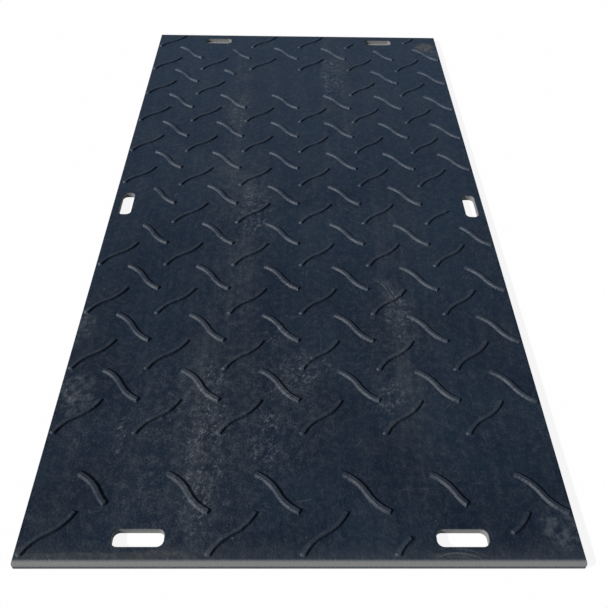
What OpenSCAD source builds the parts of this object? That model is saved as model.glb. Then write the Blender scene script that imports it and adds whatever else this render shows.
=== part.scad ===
// Ground-protection trackway panel: one compression-moulded sheet of dense
// plastic with rolled-over ends, six hand slots and a tread of raised S-shaped ribs.
// Millimetres, +Z up. Origin: middle of the flat underside.
// The panel's length lies along Y; the near end is the one at -Y.

/* [Sheet] */
// width of the sheet across the track
sheet_w = 1200; // [1150:1:1300]
// length of the sheet along the track
sheet_l = 2440; // [2350:1:2600]
// thickness of the sheet without its tread
sheet_t = 20; // [18:0.5:40]
// corner radius seen from above
corner_r = 4; // [2:0.5:10]
// round-over of the two ends at the top, where wheels climb on
end_top_r = 12; // [4:0.5:12]
// round-over of the two ends at the bottom
end_low_r = 5; // [1:0.5:5]
// round-over of the long edges, just enough to break them
side_r = 2; // [0.5:0.5:4]

/* [Hand slots] */
// length of a hand slot
slot_l = 112; // [90:1:130]
// width of a hand slot
slot_w = 40; // [30:1:48]
// corner radius of a hand slot
slot_r = 15; // [6:0.5:15]
// round-over of the slot's rims
slot_rim_r = 2; // [0.5:0.5:3]
// distance of the end slots from the long centre line
end_slot_x = 347; // [330:1:380]
// distance of the end slots from the ends of the sheet
end_slot_inset = 61; // [45:1:80]
// distance of the side slots from the long edges
side_slot_inset = 42; // [36:1:70]

/* [Tread] */
// distance from the left edge to the middle of the outermost rib that leans right
outer_margin_x = 58.5; // [57.5:0.5:64]
// distance from that rib to the next of its row
outer_step = 193.5; // [180:0.5:200]
// distance from the right edge to the middle of the row's last rib
inner_margin_x = 148; // [140:1:156]
// distance from either end to the middle of the outermost row
rib_margin_y = 71; // [70:0.5:76]
// distance from the first row to the second, longer than the pitch of the others
first_step = 305; // [280:1:320]
// distance along the sheet from a row leaning right to the row leaning left
lean_step_y = 98; // [94:1:104]
// radius of the rib's two arcs
rib_arc_r = 108; // [96:1:108]
// angle that each arc turns through
rib_sweep = 40; // [32:1:40]
// heading of the rib's middle, in degrees from straight across the sheet
rib_lean = 27.5; // [20:0.5:30]
// width of the rib at its foot
rib_w = 16.5; // [14:0.5:18.5]
// width of the rib's flat crown
rib_crown_w = 7.6; // [4:0.2:8.4]
// height of the rib above the sheet
rib_h = 5; // [3:0.25:6]
// bevel beside the crown
rib_bevel = 0.8; // [0.4:0.1:1.2]
// radius of the rib's blunt round ends at the foot, wider than half the rib
rib_end_r = 12; // [11:0.5:20]
// draft of the ends, in degrees from upright
rib_end_draft = 40; // [10:1:42]

/* [Smooth areas] */
// reach of the smooth area from a slot's middle, along the slot
pad_along = 105; // [80:1:112]
// reach of the smooth area from a slot's middle, across the slot
pad_across = 75; // [60:1:82]
// width of the blank name panel
blank_w = 460; // [300:1:470]
// length of the blank name panel
blank_l = 190; // [120:1:200]
// distance of the blank panel's middle to the left of the centre line
blank_x = 25; // [0:1:40]
// distance from the far end to the middle of the blank panel
blank_from_end = 420; // [400:1:430]

/* [Hidden] */
$fn = 64;

near_y = -sheet_l / 2;
left_x = -sheet_w / 2;
columns = 6;
rows = 12;
pitch_x = (sheet_w - outer_margin_x - outer_step - inner_margin_x) / (columns - 2);
pitch_y = (sheet_l - 2 * rib_margin_y - first_step) / (rows - 2);
rib_foot = side_r + 4;
cut_depth = 1;
through = 2;
end_slot_y = sheet_l / 2 - end_slot_inset;
side_slot_x = sheet_w / 2 - side_slot_inset;
blank_y = sheet_l / 2 - blank_from_end;

// Slots as [middle, true where the slot lies across the sheet].
slots = [
    for (side = [-1, 1], end = [-1, 1]) [[side * end_slot_x, end * end_slot_y], true],
    for (side = [-1, 1]) [[side * side_slot_x, 0], false]
];

// Distance of a rib from the first one of its row, with the shorter first step.
function column_x(column) = column == 0 ? 0 : outer_step + (column - 1) * pitch_x;

// Distance of a row from the first one, with the longer first step.
function row_y(row) = row == 0 ? 0 : first_step + (row - 1) * pitch_y;

// Heading of the rib's centre line at t: -1 is the start, 0 the middle, 1 the end.
function rib_heading(t) = rib_lean + abs(t) * rib_sweep;

// Point of the centre line at t, reached along the chord from the middle.
function rib_point(t) =
    let (chord = 2 * rib_arc_r * sin(abs(t) * rib_sweep / 2),
         way = (rib_heading(0) + rib_heading(t)) / 2)
    sign(t) * chord * [cos(way), sin(way)];

// The same point on the sheet, for a rib that leans right (0) or left (-90).
function on_sheet(middle, lean, t) =
    let (p = rib_point(t))
    middle + [p.x * cos(lean) - p.y * sin(lean), p.x * sin(lean) + p.y * cos(lean)];

function in_box(p, middle, half) = abs(p.x - middle.x) < half.x && abs(p.y - middle.y) < half.y;

// Smooth ground: round each slot and on the blank panel.
function is_smooth(p) =
    in_box(p, [-blank_x, blank_y], [blank_w, blank_l] / 2)
    || len([for (s = slots)
            if (in_box(p, s[0], s[1] ? [pad_along, pad_across] : [pad_across, pad_along])) 1]) > 0;

// The stretch of a rib that stands clear of smooth ground, as a list of t.
trim_steps = 20;
shortest_stub = 6;
function kept(middle, lean) =
    [for (i = [-trim_steps : trim_steps])
        let (t = i / trim_steps)
        if (!is_smooth(on_sheet(middle, lean, t))) t];

// Corner spandrel that a round-over of radius r takes away.
module spandrel(r) {
    difference() {
        square(r + through);
        circle(r);
    }
}

// Section w by sheet_t with its lower middle at the origin, its top and bottom corners rounded.
module rounded_section(w, top_r, low_r) {
    difference() {
        translate([-w / 2, 0])
            square([w, sheet_t]);
        for (side = [0, 1])
            mirror([side, 0]) {
                translate([w / 2 - top_r, sheet_t - top_r])
                    spandrel(top_r);
                translate([w / 2 - low_r, low_r])
                    mirror([0, 1])
                        spandrel(low_r);
            }
    }
}

// Plan of the sheet with its corners rounded.
module sheet_plan() {
    difference() {
        square([sheet_w, sheet_l], center = true);
        for (side = [0, 1], end = [0, 1])
            mirror([side, 0])
                mirror([0, end])
                    translate([sheet_w / 2 - corner_r, sheet_l / 2 - corner_r])
                        spandrel(corner_r);
    }
}

// Section of the slot cutter, its wall at x = slot_r, flared at both rims.
module slot_section() {
    translate([0, -through])
        square([slot_r, sheet_t + 2 * through]);
    for (top = [0, 1])
        translate([slot_r, top * sheet_t])
            mirror([0, top])
                difference() {
                    translate([-through, -through])
                        square([slot_rim_r + through, slot_rim_r + through]);
                    translate([slot_rim_r, slot_rim_r])
                        circle(slot_rim_r);
                }
}

// Carries a border section (children) round a rounded rectangle w by l.
module framed(w, l, r, low, high) {
    translate([-w / 2 + r, -l / 2 + r, low])
        cube([w - 2 * r, l - 2 * r, high - low]);
    for (turn = [0 : 3]) {
        across = turn % 2 == 0;
        run = (across ? l : w) - 2 * r;
        reach = (across ? w : l) / 2 - r;
        rotate([0, 0, 90 * turn]) {
            translate([reach, run / 2, 0])
                rotate([90, 0, 0])
                    linear_extrude(run)
                        children();
            translate([reach, run / 2, 0])
                rotate_extrude(angle = 90)
                    children();
        }
    }
}

module slot_cutter() {
    framed(slot_l, slot_w, slot_r, -through, sheet_t + through)
        slot_section();
}

// The bare board: what the plan, the end profile and the side profile have in common.
module board() {
    intersection() {
        linear_extrude(sheet_t)
            sheet_plan();
        translate([-sheet_w / 2 - through, 0, 0])
            rotate([90, 0, 90])
                linear_extrude(sheet_w + 2 * through)
                    rounded_section(sheet_l, end_top_r, end_low_r);
        translate([0, sheet_l / 2 + through, 0])
            rotate([90, 0, 0])
                linear_extrude(sheet_l + 2 * through)
                    rounded_section(sheet_w, side_r, side_r);
    }
}

module sheet() {
    difference() {
        board();
        for (s = slots)
            translate([s[0].x, s[0].y, 0])
                rotate([0, 0, s[1] ? 0 : 90])
                    slot_cutter();
    }
}

// Section of the rib: drafted flanks, bevels and a flat crown on a foot sunk into the sheet.
module rib_section() {
    low = rib_w / 2;
    high = rib_crown_w / 2;
    polygon([
        [-low, -rib_foot], [low, -rib_foot], [low, 0],
        [high + rib_bevel, rib_h - rib_bevel], [high, rib_h],
        [-high, rib_h], [-high - rib_bevel, rib_h - rib_bevel],
        [-low, 0]
    ]);
}

// One arc of the rib from its middle outwards, through a share of the full sweep.
module rib_arc(from, to) {
    rotate([0, 0, rib_lean - 90])
        translate([0, rib_arc_r, 0])
            rotate([0, 0, -90])
                rotate([0, 0, from * rib_sweep])
                    rotate_extrude(angle = (to - from) * rib_sweep)
                        translate([rib_arc_r, 0])
                            rib_section();
}

// Ring cut that leaves the rib a drafted round end at t; way is 1 at its end, -1 at its start.
module end_cut(t, way) {
    p = rib_point(t);
    low = -cut_depth;
    high = rib_h + cut_depth;
    translate([p.x, p.y, 0])
        rotate([0, 0, rib_heading(t) - 90 * way])
            translate([0, -rib_end_r - cut_depth / 2, 0])
                rotate_extrude(angle = 180)
                    polygon([
                        [rib_end_r, low],
                        [2 * rib_end_r, low],
                        [2 * rib_end_r, high],
                        [rib_end_r - (high - low) * tan(rib_end_draft), high]
                    ]);
}

// S-shaped rib that leans right, between the places t = start and t = end.
module rib(start, end) {
    difference() {
        union() {
            if (end > 0)
                rotate([0, 0, 90])
                    rib_arc(max(start, 0), end);
            if (start < 0)
                rotate([0, 0, 270])
                    rib_arc(max(-end, 0), -start);
        }
        end_cut(start, -1);
        end_cut(end, 1);
    }
}

module trimmed_rib(middle, lean) {
    stretch = kept(middle, lean);
    if (len(stretch) >= shortest_stub)
        translate([middle.x, middle.y, sheet_t])
            rotate([0, 0, lean])
                rib(min(stretch), max(stretch));
}

module tread() {
    for (column = [0 : columns - 1], row = [0 : rows - 1]) {
        right = [left_x + outer_margin_x + column_x(column), near_y + rib_margin_y + row_y(row)];
        left = [-right.x, right.y + lean_step_y];
        trimmed_rib(right, 0);
        if (row < rows - 1)
            trimmed_rib(left, -90);
    }
}

module panel() {
    color([0.13, 0.16, 0.19]) {
        sheet();
        tread();
    }
}

panel();
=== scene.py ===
# %% [markdown]
# # A trackway panel of dense black plastic
# The panel is one moulded sheet that is laid on soft ground so that vehicles
# and people can cross it. The solid comes ready made from the CAD model, with
# its tread, slots and rounded edges at real size. This lesson gives it the
# look of a panel that has been driven over: navy-black plastic with a cloudy
# film, leathery creases, torn scuffs, scratches and pale worn edges.

# %% Load the solid
import math
from types import SimpleNamespace

import bpy
from mathutils import Euler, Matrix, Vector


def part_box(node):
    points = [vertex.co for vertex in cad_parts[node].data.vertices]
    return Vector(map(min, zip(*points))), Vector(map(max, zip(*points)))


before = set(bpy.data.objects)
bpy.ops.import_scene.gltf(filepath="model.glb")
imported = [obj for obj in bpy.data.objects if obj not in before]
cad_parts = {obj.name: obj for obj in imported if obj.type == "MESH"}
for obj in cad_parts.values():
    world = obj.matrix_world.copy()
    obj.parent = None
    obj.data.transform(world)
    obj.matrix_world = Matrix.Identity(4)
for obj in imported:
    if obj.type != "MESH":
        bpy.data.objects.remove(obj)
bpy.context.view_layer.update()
low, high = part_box("panel")
width, length, height = high - low
print(f"panel {width:.3f} m by {length:.3f} m, {height * 1000:.1f} mm high")

# %% [markdown]
# ## Places on the panel
# Wear isn't even. To put each mark where it belongs, every place is measured
# in metres from the middle of the panel: x runs across the track, y along it,
# z up. The sheet itself is 20 mm thick, and what stands above that is the tread.

# %% Measure the sheet and its tread
MILLIMETRE = 0.001
SHEET_TOP = 20 * MILLIMETRE
half_w, half_l = width / 2, length / 2
rib_height = high.z - SHEET_TOP
print(f"tread stands {rib_height / MILLIMETRE:.1f} mm above the sheet")

# %% [markdown]
# ## Shader maths as plain expressions
# A material is a graph of nodes, which is tedious to wire by hand. A small
# class that wraps one socket lets us write `1 - dust * 0.5` and have Blender
# build the Math nodes. Colours never pass through Math nodes, because those
# keep only one channel: they go through Mix instead.

# %% A socket that does arithmetic
class Value:
    """The output of a node. Arithmetic on it adds Math nodes."""

    def __init__(self, shader, socket):
        self.shader, self.socket = shader, socket

    def math(self, operation, *others, clamp=False):
        return self.shader.node(
            "ShaderNodeMath", {"operation": operation, "use_clamp": clamp},
            dict(enumerate((self,) + others)))

    def __add__(self, other):
        return self.math("ADD", other)

    def __sub__(self, other):
        return self.math("SUBTRACT", other)

    def __rsub__(self, other):
        return self.shader.number(other).math("SUBTRACT", self)

    def __mul__(self, other):
        return self.math("MULTIPLY", other)

    def __truediv__(self, other):
        return self.math("DIVIDE", other)

    def __pow__(self, other):
        return self.math("POWER", other)

    def __abs__(self):
        return self.math("ABSOLUTE")

    def __or__(self, other):
        """The stronger of two masks."""
        return self.math("MAXIMUM", other)

    __radd__ = __add__
    __rmul__ = __mul__

    def limited(self):
        """The same value, held between 0 and 1."""
        return self.math("ADD", 0.0, clamp=True)

    def ramp(self, start, end):
        """0 before start and 1 after end, with a soft turn at both."""
        return self.shader.node(
            "ShaderNodeMapRange", {"interpolation_type": "SMOOTHSTEP"},
            {"Value": self, "From Min": start, "From Max": end})


# %% [markdown]
# ## One method for every node
# Each node is made the same way: its kind, then its settings, then what goes
# into its sockets, either a plain value or a link. The few nodes that are used
# often get a short method. Two kinds have several sockets with the same name,
# the Mix node and the Mix Shader, so theirs are given by number.

# %% A node tree under construction
MIX_FACTOR, MIX_BASE, MIX_OVER, MIX_RESULT = 0, 6, 7, 2


class Shader:
    """The node tree of a material or a world while it is being built."""

    def __init__(self, owner):
        self.owner = owner
        owner.use_nodes = True
        self.tree = owner.node_tree
        self.tree.nodes.clear()

    def node(self, kind, settings=None, inputs=None, output=0):
        made = self.tree.nodes.new(kind)
        for key, setting in (settings or {}).items():
            setattr(made, key, setting)
        for key, value in (inputs or {}).items():
            if isinstance(value, Value):
                self.tree.links.new(value.socket, made.inputs[key])
            else:
                made.inputs[key].default_value = value
        return None if output is None else Value(self, made.outputs[output])

    def finished(self, surface, kind="ShaderNodeOutputMaterial"):
        """Closes the tree with its output node and gives back what owns it."""
        self.node(kind, inputs={"Surface": surface}, output=None)
        return self.owner

    def number(self, value):
        return self.node("ShaderNodeMath", {"operation": "ADD"}, {0: float(value), 1: 0.0})

    def place(self):
        """Position on the panel in metres: the solid's own coordinates."""
        return self.node("ShaderNodeTexCoord", output="Object")

    def axes(self, vector):
        split = self.node("ShaderNodeSeparateXYZ", inputs={"Vector": vector}).socket.node
        return [Value(self, out) for out in split.outputs]

    def vector(self, x, y, z):
        return self.node("ShaderNodeCombineXYZ", inputs={"X": x, "Y": y, "Z": z})

    def stretched(self, vector, scale, turn=0.0):
        """The place scaled by (x, y, z) after a turn about z in degrees."""
        turned = self.node(
            "ShaderNodeVectorRotate", {"rotation_type": "Z_AXIS"},
            {"Vector": vector, "Angle": math.radians(turn)})
        return self.node(
            "ShaderNodeVectorMath", {"operation": "MULTIPLY"}, {0: turned, 1: scale})

    def noise(self, vector, scale, detail, roughness=0.55, distortion=0.0):
        """Cloudy noise of about 0.5, with scale waves to a metre."""
        return self.node("ShaderNodeTexNoise", inputs={
            "Vector": vector, "Scale": scale, "Detail": detail,
            "Roughness": roughness, "Distortion": distortion})

    def cells(self, vector, scale):
        """Distance from the nearest of many scattered points."""
        return self.node(
            "ShaderNodeTexVoronoi", {"feature": "F1"},
            {"Vector": vector, "Scale": scale}, output="Distance")

    def blend(self, base, over, amount):
        return self.node(
            "ShaderNodeMix", {"data_type": "RGBA"},
            {MIX_FACTOR: amount, MIX_BASE: base, MIX_OVER: over}, output=MIX_RESULT)


def colour(red, green, blue):
    return (red, green, blue, 1.0)


print("shader helpers ready")

# %% [markdown]
# ## Where a patch of wear lies
# A stain or a scuffed zone on the real sheet is a soft-edged blot. It could be
# painted on an image, but a formula stays sharp at any distance: the distance
# from the blot's middle, roughened by noise so that its rim isn't an ellipse.

# %% Soft blot
RIM_RAGGED = 2.2
FULL_UP_TO = 0.25
GONE_FROM = 1.3


def blot(spot, ragged, middle, reach):
    """1 near the middle and 0 past the reach, both given as (x, y)."""
    across = ((spot[0] - middle[0]) / reach[0]) ** 2
    along = ((spot[1] - middle[1]) / reach[1]) ** 2
    spread = across + along + (ragged - 0.5) * RIM_RAGGED
    return 1 - spread.ramp(FULL_UP_TO, GONE_FROM)


print(f"a blot fades out at {math.sqrt(GONE_FROM):.2f} of its reach")

# %% [markdown]
# ## Cloudy film
# Mud that was washed off leaves a thin grey film in long wipes that run with
# the traffic. Noise squeezed across the sheet and drawn out along it gives
# such wipes, and the wheel paths carry more of them than the ground between.
# Each path is given by its middle in x, its reach in x and its middle in y.

# %% Film of old mud
WHEEL_PATHS = (
    (-0.235, 0.060, -0.95), (-0.175, 0.050, -0.20), (-0.230, 0.050, 0.60),
    (0.145, 0.060, 0.80), (0.270, 0.050, -0.50),
)
PATH_REACH = 0.55
WIPE_STRETCH = (1.0, 0.06, 1.0)


def wheel_paths(shader, x, y):
    paths = shader.number(0.0)
    for middle, reach, along in WHEEL_PATHS:
        lane = 1 - (abs(x - middle) / reach).ramp(0.2, 1.6)
        paths = paths | lane * (1 - (abs(y - along) / PATH_REACH).ramp(0.5, 1.2))
    return paths


def film(shader, place, x, y):
    drawn_out = shader.stretched(place, WIPE_STRETCH)
    wipes = shader.noise(drawn_out, scale=34.0, detail=6.0, roughness=0.62, distortion=0.2)
    clouds = shader.noise(place, scale=4.5, detail=5.0, roughness=0.65, distortion=0.4)
    smudges = shader.noise(place, scale=24.0, detail=4.0, roughness=0.65, distortion=0.3)
    haze = clouds.ramp(0.38, 0.72) * (0.22 + y.ramp(-0.4, 0.5) * 0.50)
    cloudy = wipes.ramp(0.38, 0.72) * 0.55 + haze + smudges.ramp(0.42, 0.66) * 0.3
    return cloudy * (0.42 + wheel_paths(shader, x, y) * 0.80)


print("film gathers in", len(WHEEL_PATHS), "wheel paths")

# %% [markdown]
# ## Where the skin is creased or torn
# Grit pressed in by tyres creases the skin of the sheet like leather. The
# creases are faint nearly everywhere and gather in a few zones, and threads are
# torn pale where wheels were steered. Each zone is a blot's middle and reach,
# both as (x, y), and a creased one has its strength too.

# %% Creased and torn zones
CREASED = (
    ((-0.25, -0.92), (0.24, 0.36), 0.95), ((-0.08, -0.80), (0.20, 0.26), 1.00),
    ((0.26, -0.62), (0.16, 0.30), 0.75), ((-0.52, -0.80), (0.10, 0.30), 0.70),
    ((-0.18, -0.10), (0.14, 0.60), 0.75), ((0.14, 0.85), (0.10, 0.35), 0.60),
)
TORN = (
    ((-0.080, -0.91), (0.045, 0.090)), ((0.010, -0.69), (0.080, 0.055)),
    ((0.225, -0.78), (0.040, 0.065)), ((-0.225, -0.93), (0.050, 0.28)),
    ((-0.060, -0.58), (0.045, 0.040)), ((-0.145, -0.02), (0.055, 0.15)),
    ((0.273, -0.49), (0.040, 0.11)), ((-0.570, -0.77), (0.030, 0.060)),
    ((0.136, 0.85), (0.050, 0.20)), ((-0.225, 0.56), (0.045, 0.14)),
    ((-0.430, -0.90), (0.015, 0.060)),
)
CREASED_ELSEWHERE = 0.38
TORN_ELSEWHERE = 0.14
print(len(CREASED), "creased zones and", len(TORN), "torn ones")

# %% [markdown]
# ## Leathery threads
# A ridge is where a noise crosses its middle value, which draws one thin
# wandering line, so ridges of two sizes make the curly net of the creases.
# The torn threads lean, and are broken into short pieces.

# %% Threads of the skin
TEAR_STRETCH = (1.0, 0.35, 1.0)
TEAR_LEAN = 28.0


def ridge(shader, place, scale, detail, distortion, sharp):
    wave = shader.noise(place, scale, detail, 0.5, distortion)
    return 1 - (abs(wave - 0.5) * 2).ramp(0.0, sharp)


def leather(shader, place):
    """Curly net of creases, 0 in the flats and 1 on the threads."""
    broken = 0.25 + shader.noise(place, scale=48.0, detail=3.0, roughness=0.6).ramp(0.42, 0.58) * 0.75
    wide = ridge(shader, place, scale=62.0, detail=3.0, distortion=1.6, sharp=0.09)
    fine = ridge(shader, place, scale=120.0, detail=2.0, distortion=1.6, sharp=0.16)
    return (wide | fine * 0.8) * broken


def creases(shader, place, spot, ragged, net):
    patchy = shader.noise(place, scale=14.0, detail=4.0, roughness=0.65).ramp(0.30, 0.70)
    zone = shader.number(CREASED_ELSEWHERE)
    for middle, reach, strength in CREASED:
        zone = zone | blot(spot, ragged, middle, reach) * strength
    return net * zone * (0.40 + patchy * 0.60)


def tears(shader, place, spot, ragged, net):
    leaning = shader.stretched(place, TEAR_STRETCH, TEAR_LEAN)
    threads = ridge(shader, leaning, scale=50.0, detail=4.0, distortion=0.8, sharp=0.075)
    broken = shader.noise(place, scale=85.0, detail=4.0, roughness=0.7).ramp(0.44, 0.60)
    zone = shader.number(TORN_ELSEWHERE)
    for middle, reach in TORN:
        zone = zone | blot(spot, ragged, middle, reach)
    return (threads | net * 0.5) * broken * zone


print(f"torn threads lean {TEAR_LEAN:.0f} degrees from the track")

# %% [markdown]
# ## Scratches
# Stones that are dragged leave long hair lines. Noise drawn out in a few
# directions gives them, and a second, coarse noise lets each direction show
# only in patches, because one stone doesn't scratch the whole sheet.

# %% Dragged scratches
SCRATCH_TURNS = (4.0, -9.0, 38.0, -57.0, 81.0)
SCRATCH_STRETCH = (1.0, 0.03, 1.0)
FINEST_FROM, FINER_BY = 230.0, 37.0


def scratches(shader, place):
    marks = shader.number(0.0)
    for number, turn in enumerate(SCRATCH_TURNS):
        drawn = shader.stretched(place, SCRATCH_STRETCH, turn)
        hairs = shader.noise(drawn, scale=FINEST_FROM + FINER_BY * number, detail=2.0, roughness=0.5)
        gate = shader.noise(place, scale=6.0 + number, detail=2.0).ramp(0.53, 0.68)
        marks = marks | hairs.ramp(0.68, 0.76) * gate
    return marks


print("scratches run in", len(SCRATCH_TURNS), "directions")

# %% [markdown]
# ## Scrub marks of a turning wheel
# A wheel that is turned on the spot leaves short strokes along an arc. Around
# the turning point, the distance from it takes the place of one coordinate, so
# that noise along it gives strokes that bend. Each mark is its turning point,
# its radius, half its width, and the middle and reach of the part that shows.

# %% Scrub marks
TURNING_POINTS = (
    ((0.33, -1.292), 0.100, 0.018, (0.33, -1.195), (0.06, 0.02)),
    ((0.10, -0.46), 0.165, 0.030, (0.25, -0.40), (0.05, 0.07)),
    ((-0.02, -0.86), 0.100, 0.030, (-0.03, -0.76), (0.07, 0.05)),
)
ACROSS_STROKES, ALONG_STROKES = 260.0, 9.0


def scrub_marks(shader, spot, ragged):
    x, y = spot[:2]
    marks = shader.number(0.0)
    for centre, radius, spread, middle, reach in TURNING_POINTS:
        away = ((x - centre[0]) ** 2 + (y - centre[1]) ** 2) ** 0.5
        band = 1 - (abs(away - radius) / spread).ramp(0.3, 1.0)
        bent = shader.vector(away * ACROSS_STROKES, x * ALONG_STROKES, y * ALONG_STROKES)
        strokes = shader.noise(bent, scale=1.0, detail=3.0, roughness=0.6)
        marks = marks | band * strokes.ramp(0.50, 0.66) * blot(spot, ragged, middle, reach)
    return marks


print(len(TURNING_POINTS), "scrub marks")

# %% [markdown]
# ## Nicks
# Dropped steel leaves small pale pits. The distance from scattered points is
# least at the points themselves, so its lowest values are round spots.

# %% Nicks of two sizes
def nicks(shader, place):
    large = 1 - shader.cells(place, scale=26.0).ramp(0.045, 0.085)
    small = 1 - shader.cells(place, scale=75.0).ramp(0.07, 0.13)
    where = shader.noise(place, scale=9.0, detail=2.0).ramp(0.50, 0.62)
    return (large | small * 0.7) * where


print("nicks of two sizes ready")

# %% [markdown]
# ## Rubbed borders and painted shade
# The rolled ends and the slots' walls were rubbed pale, while the long edges
# stay dark. The lower part of the end faces is left dark as painted shade
# under the roll. A mask for each follows from the place and from how far the
# surface faces up. The roll is measured from the ends of the sheet, a face
# from the ground and an edge from the long side.

# %% Pale borders and painted shade under the roll
ROLL_BEGINS = 14.5 * MILLIMETRE
ROLL_TURNS_DOWN = 12.5 * MILLIMETRE
ROLL_IS_PALE = 6.0 * MILLIMETRE
# Below this height the end face keeps its dark colour as painted shade under the roll.
FACE_PAINTED_SHADE_BELOW = 8.5 * MILLIMETRE
FACE_PALE_ABOVE = 14.5 * MILLIMETRE
SLOT_RIM = 2.0 * MILLIMETRE
EDGE_SHARP, EDGE_WIDE = 0.5 * MILLIMETRE, 4.0 * MILLIMETRE
WALL_SLOPE, FLAT_SLOPE = 0.45, 0.94


def pale_border_and_painted_shade(shader, x, y, z):
    facing_up = shader.axes(shader.node("ShaderNodeNewGeometry", output="Normal"))[2]
    rolled = abs(y).ramp(half_l - ROLL_BEGINS, half_l - ROLL_IS_PALE)
    # The roll is pale only high on the end face; its dark lower part is painted shade.
    pale_roll_over_painted_shade = rolled * z.ramp(FACE_PAINTED_SHADE_BELOW, FACE_PALE_ABOVE)
    long_edge = 1 - abs(abs(x) - half_w).ramp(EDGE_SHARP, EDGE_WIDE)
    end_face = abs(y).ramp(half_l - ROLL_BEGINS, half_l - ROLL_TURNS_DOWN)
    steep = 1 - facing_up.ramp(WALL_SLOPE, FLAT_SLOPE)
    below_top = 1 - z.ramp(SHEET_TOP - SLOT_RIM, SHEET_TOP)
    return pale_roll_over_painted_shade | steep * below_top * (1 - long_edge) * (1 - end_face)


print(f"the rolled ends turn pale over {(ROLL_BEGINS - ROLL_IS_PALE) / MILLIMETRE:.1f} mm")

# %% [markdown]
# ## Colours
# The body is a nearly black navy that turns pale wherever it is abraded. Every
# kind of wear mixes it with one of a few colours, written in linear light as
# Blender counts them. Most wear is spread by noise, but some patches are plain
# to see on the real sheet, so each of those is a blot with its own place. One
# pale blue is painted reflection of the sky, stronger towards the far end.

# %% Colours of the plastic, its dirt and a painted sky reflection
NAVY_BLACK = colour(0.0028, 0.0088, 0.0214)
WASHED_OUT = colour(0.0064, 0.0158, 0.0316)
# Painted reflection of the sky: it makes the far part of the sheet paler and bluer.
PAINTED_SKY_REFLECTION = colour(0.0195, 0.0370, 0.0680)
MUD_FILM = colour(0.0400, 0.0500, 0.0630)
SCUFFED_PALE = colour(0.195, 0.212, 0.232)
WORN_GREY = colour(0.165, 0.166, 0.168)
DRY_EARTH = colour(0.190, 0.165, 0.130)
BROWN_SMEAR = colour(0.070, 0.068, 0.066)

EARTH_PATCH = ((0.545, 1.122), (0.045, 0.040))
PALE_CORNERS = (
    ((0.560, -1.140), (0.050, 0.055)), ((-0.555, -0.780), (0.045, 0.070)),
    ((-0.590, -0.540), (0.035, 0.070)), ((0.575, 1.060), (0.030, 0.060)),
)
SMEARS = (
    ((-0.400, -1.200), (0.190, 0.009)), ((-0.290, -1.193), (0.060, 0.008)),
    ((0.330, -1.199), (0.060, 0.007)),
)
print(len(PALE_CORNERS), "pale corners and", len(SMEARS), "smears")

# %% [markdown]
# ## All the wear together
# The masks are made once and kept under plain names, because colour, roughness
# and height all read them. That is what ties the wear together: a torn thread
# on the real sheet is paler, duller and lower, all in the same place.

# %% Masks of the wear
DUSTY_RIM_WIDTH = 0.06
CROWN_STARTS, CROWN_FULL = 0.80, 0.97


def wear_masks(shader, place, spot):
    x, y, z = spot
    ragged = shader.noise(place, scale=14.0, detail=6.0, roughness=0.62)
    specks = shader.noise(place, scale=260.0, detail=3.0, roughness=0.75).ramp(0.40, 0.68)
    patches = shader.noise(place, scale=45.0, detail=5.0, roughness=0.7).ramp(0.42, 0.66)
    net = leather(shader, place)
    return SimpleNamespace(
        ragged=ragged,
        speckle=specks * (0.6 + ragged * 0.8),
        patches=patches,
        grime=film(shader, place, x, y).limited(),
        creased=creases(shader, place, spot, ragged, net).limited(),
        torn=tears(shader, place, spot, ragged, net).limited(),
        scrubbed=scrub_marks(shader, spot, ragged),
        hairs=(scratches(shader, place) | nicks(shader, place)).limited(),
        border=pale_border_and_painted_shade(shader, x, y, z),
        dusty_rim=(1 - (y + half_l).ramp(0.0, DUSTY_RIM_WIDTH)) * (0.5 + ragged),
        crown=z.ramp(SHEET_TOP + rib_height * CROWN_STARTS, SHEET_TOP + rib_height * CROWN_FULL))


print(f"ribs are rubbed above {rib_height * CROWN_STARTS / MILLIMETRE:.1f} mm of their height")

# %% [markdown]
# ## Colour, one layer over the last
# Paint could be mixed from all the wear at once, but laying one kind over the
# last keeps the order of the real sheet: film first, then what was scraped
# through it, then the dirt that came on top, and the rubbed borders last.

# %% Colour of the worn body
def body_colour(shader, place, spot, wear):
    washed = shader.noise(place, scale=3.2, detail=5.0, roughness=0.6).ramp(0.35, 0.7)
    skin = wear.creased * (0.22 + wear.grime * 0.15) + wear.crown * 0.060
    marks = wear.torn * 0.45 + wear.scrubbed * 0.30 + wear.hairs * 0.20
    body = shader.blend(NAVY_BLACK, WASHED_OUT, washed)
    # Paler and bluer towards the far end: painted reflection of the sky, laid under the film.
    body = shader.blend(body, PAINTED_SKY_REFLECTION, spot[1].ramp(-1.1, 1.6) * 0.68)
    body = shader.blend(body, MUD_FILM, (wear.grime * 0.5 + wear.dusty_rim * 0.45).limited())
    body = shader.blend(body, MUD_FILM, wear.speckle * 0.12)
    body = shader.blend(body, SCUFFED_PALE, skin.limited())
    body = shader.blend(body, SCUFFED_PALE, marks.limited())
    for middle, reach in SMEARS:
        smear = blot(spot, wear.ragged, middle, reach)
        body = shader.blend(body, BROWN_SMEAR, smear * (0.2 + wear.patches * 0.4))
    for middle, reach in PALE_CORNERS:
        corner = blot(spot, wear.ragged, middle, reach)
        body = shader.blend(body, SCUFFED_PALE, corner * wear.patches * 0.22)
    earth = blot(spot, wear.ragged, *EARTH_PATCH)
    body = shader.blend(body, DRY_EARTH, earth * (0.15 + wear.patches * 0.35))
    # Pale rubbed borders last, with the lower end faces left dark as painted shade.
    return shader.blend(body, WORN_GREY, wear.border.limited())


print("one patch of dry earth near", EARTH_PATCH[0])

# %% [markdown]
# ## Roughness and height
# Worn plastic is duller as well as paler. Its skin is also uneven: fine
# pimples from the mould all over, raised creases, and tears that dig in. Such
# small relief is bump, because real geometry of that size would be too heavy.

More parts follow.
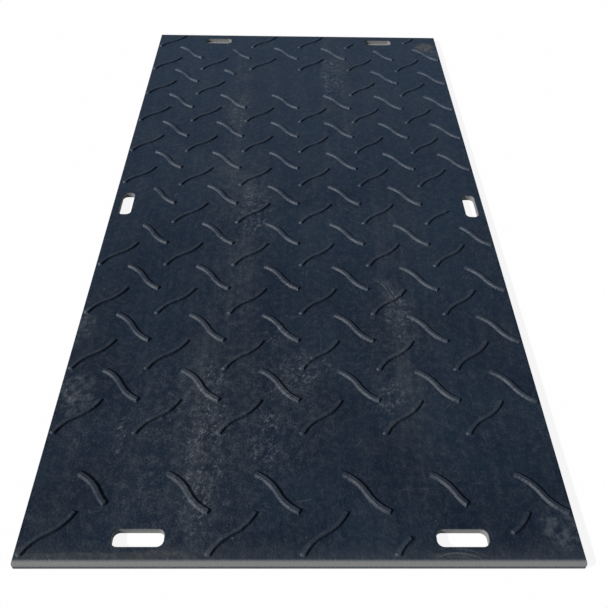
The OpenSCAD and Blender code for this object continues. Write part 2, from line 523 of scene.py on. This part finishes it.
# %% Roughness and relief of the worn body
def body_roughness(wear):
    rough = 0.44 + wear.grime * 0.12 + wear.torn * 0.2 + wear.hairs * 0.1 + wear.border * 0.2
    return rough.limited()


def body_relief(shader, place, wear):
    """Height of the skin in millimetres: pimples, creases, tears and scratches."""
    fine = shader.noise(place, scale=170.0, detail=3.0, roughness=0.6) * 1.3
    pimples = fine + shader.noise(place, scale=60.0, detail=3.0, roughness=0.5) * 1.5
    relief = pimples + wear.creased * 0.45 - wear.torn * 0.20 - wear.hairs * 0.06
    return relief * (1 - wear.border * 0.7)


print("roughness and relief ready")

# %% [markdown]
# ## The plastic
# Dense polyethylene is a waxy, half-matt plastic: a dark body and a soft, weak
# highlight. One Principled shader carries it, with the wear as colour,
# roughness and height together, because that is what real wear does.

# %% Worn polyethylene
WAXY_IOR = 1.50
WAXY_SHINE = 0.20


def worn_polyethylene(name):
    shader = Shader(bpy.data.materials.new(name))
    place = shader.place()
    spot = shader.axes(place)
    wear = wear_masks(shader, place, spot)
    bump = shader.node("ShaderNodeBump", inputs={
        "Strength": 1.0, "Distance": MILLIMETRE, "Height": body_relief(shader, place, wear)})
    plastic = shader.node("ShaderNodeBsdfPrincipled", inputs={
        "Base Color": body_colour(shader, place, spot, wear),
        "Roughness": body_roughness(wear), "Normal": bump,
        "IOR": WAXY_IOR, "Specular IOR Level": WAXY_SHINE})
    return shader.finished(plastic)


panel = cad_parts["panel"]
for slot in panel.material_slots:
    slot.material = worn_polyethylene("worn_polyethylene")
print("panel finish has", len(panel.material_slots[0].material.node_tree.nodes), "nodes")

# %% [markdown]
# ## Floor and backdrop
# The panel lies on a plain pale floor. The floor is one large sheet, so that
# its rim stays out of view, and it is only shaded by the panel itself. Where it
# is looked at, part of it glows, which makes it pale without any more light.

# %% Pale floor
FLOOR_REACH = 30.0
FLOOR_PAINT = colour(0.95, 0.95, 0.95)
WHITE = colour(1.0, 1.0, 1.0)
SEEN_WHITE = 0.90
LOOKING_RAYS = ("Is Camera Ray", "Is Glossy Ray", "Is Transmission Ray")


def pale_floor():
    bpy.ops.mesh.primitive_plane_add(size=FLOOR_REACH, location=(0, 0, 0))
    floor = bpy.context.object
    floor.name = "pale_floor"
    shader = Shader(bpy.data.materials.new("pale_floor"))
    paint = shader.node("ShaderNodeBsdfDiffuse", inputs={"Color": FLOOR_PAINT})
    glow = shader.node("ShaderNodeEmission", inputs={"Color": WHITE, "Strength": 1.0})
    seen, mirrored, through = [
        shader.node("ShaderNodeLightPath", output=ray) for ray in LOOKING_RAYS]
    mixed = shader.node("ShaderNodeMixShader", inputs={
        0: (seen | mirrored | through) * SEEN_WHITE, 1: paint, 2: glow})
    floor.data.materials.append(shader.finished(mixed))
    return floor


pale_floor()
print(f"floor is {FLOOR_REACH:.0f} m wide")

# %% [markdown]
# ## Light
# A dark, half-matt sheet shows its shape by contrast, so the key is hard and
# low like a late sun. It comes from the left and partly from the near end:
# it catches the left and near flanks of the ribs and leaves their other
# sides black. The world fills in softly and a little bluer than the sun, and
# both together are set so that a flat white sheet would come out white.

# %% Key sun
SUN_FROM = math.radians(201.0)
SUN_HEIGHT = math.radians(32.0)
SUN_DISC = math.radians(1.5)
SUN_COLOUR = (1.030, 1.008, 0.970)
WORLD_LEVEL = 0.15


def key_sun(name, whiteness):
    lamp = bpy.data.lights.new(name, "SUN")
    lamp.energy = whiteness * math.pi / math.sin(SUN_HEIGHT)
    lamp.angle = SUN_DISC
    lamp.color = SUN_COLOUR
    holder = bpy.data.objects.new(name, lamp)
    bpy.context.scene.collection.objects.link(holder)
    holder.rotation_euler = (0.0, math.pi / 2 - SUN_HEIGHT, SUN_FROM)
    return holder


sun = key_sun("key", 1 - WORLD_LEVEL)
print(f"sun of strength {sun.data.energy:.2f}, {math.degrees(SUN_HEIGHT):.0f} degrees up")

# %% [markdown]
# ## World
# The sky does two jobs. It fills the shadows with weak, bluish light, and a
# low camera sees it as plain white past the rim of the floor. Light Path tells
# the two apart, so that the white backdrop puts no more light on the panel.

# %% Soft world
SKY_COLOUR = colour(0.830, 0.955, 1.170)


def soft_world(name):
    shader = Shader(bpy.data.worlds.new(name))
    looked_at = shader.node("ShaderNodeLightPath", output="Is Camera Ray")
    strength = shader.node("ShaderNodeMapRange", inputs={
        "Value": looked_at, "To Min": WORLD_LEVEL, "To Max": 1.0})
    tint = shader.blend(SKY_COLOUR, WHITE, looked_at)
    fill = shader.node("ShaderNodeBackground", inputs={"Color": tint, "Strength": strength})
    return shader.finished(fill, "ShaderNodeOutputWorld")


bpy.context.scene.world = soft_world("studio")

# %% [markdown]
# ## Camera
# The photograph looks down along the panel from above its near end. The lens
# and the place were worked out from the sheet's corners and its tread. The
# focal length was found in pixels, so the sensor's width turns it into a lens.

# %% Camera above the near end
PHOTO_FOCAL_PIXELS = 732.1
PHOTO_WIDTH_PIXELS = 608
SENSOR_WIDTH = 36.0
CAMERA_TILT = math.radians(44.845)
CAMERA_ROLL = math.radians(-1.349)
CAMERA_TURN = math.radians(0.486)
CAMERA_PLACE = (-0.0238, -1.9065, 1.4782)

camera_data = bpy.data.cameras.new("camera")
camera_data.sensor_width = SENSOR_WIDTH
camera_data.lens = SENSOR_WIDTH * (PHOTO_FOCAL_PIXELS / PHOTO_WIDTH_PIXELS)
camera = bpy.data.objects.new("camera", camera_data)
bpy.context.scene.collection.objects.link(camera)
camera.rotation_mode = "YXZ"
camera.rotation_euler = Euler((CAMERA_TILT, CAMERA_ROLL, CAMERA_TURN), "YXZ")
camera.location = CAMERA_PLACE
bpy.context.scene.camera = camera
bpy.context.scene.view_settings.view_transform = "Standard"
print(f"lens {camera_data.lens:.1f} mm")
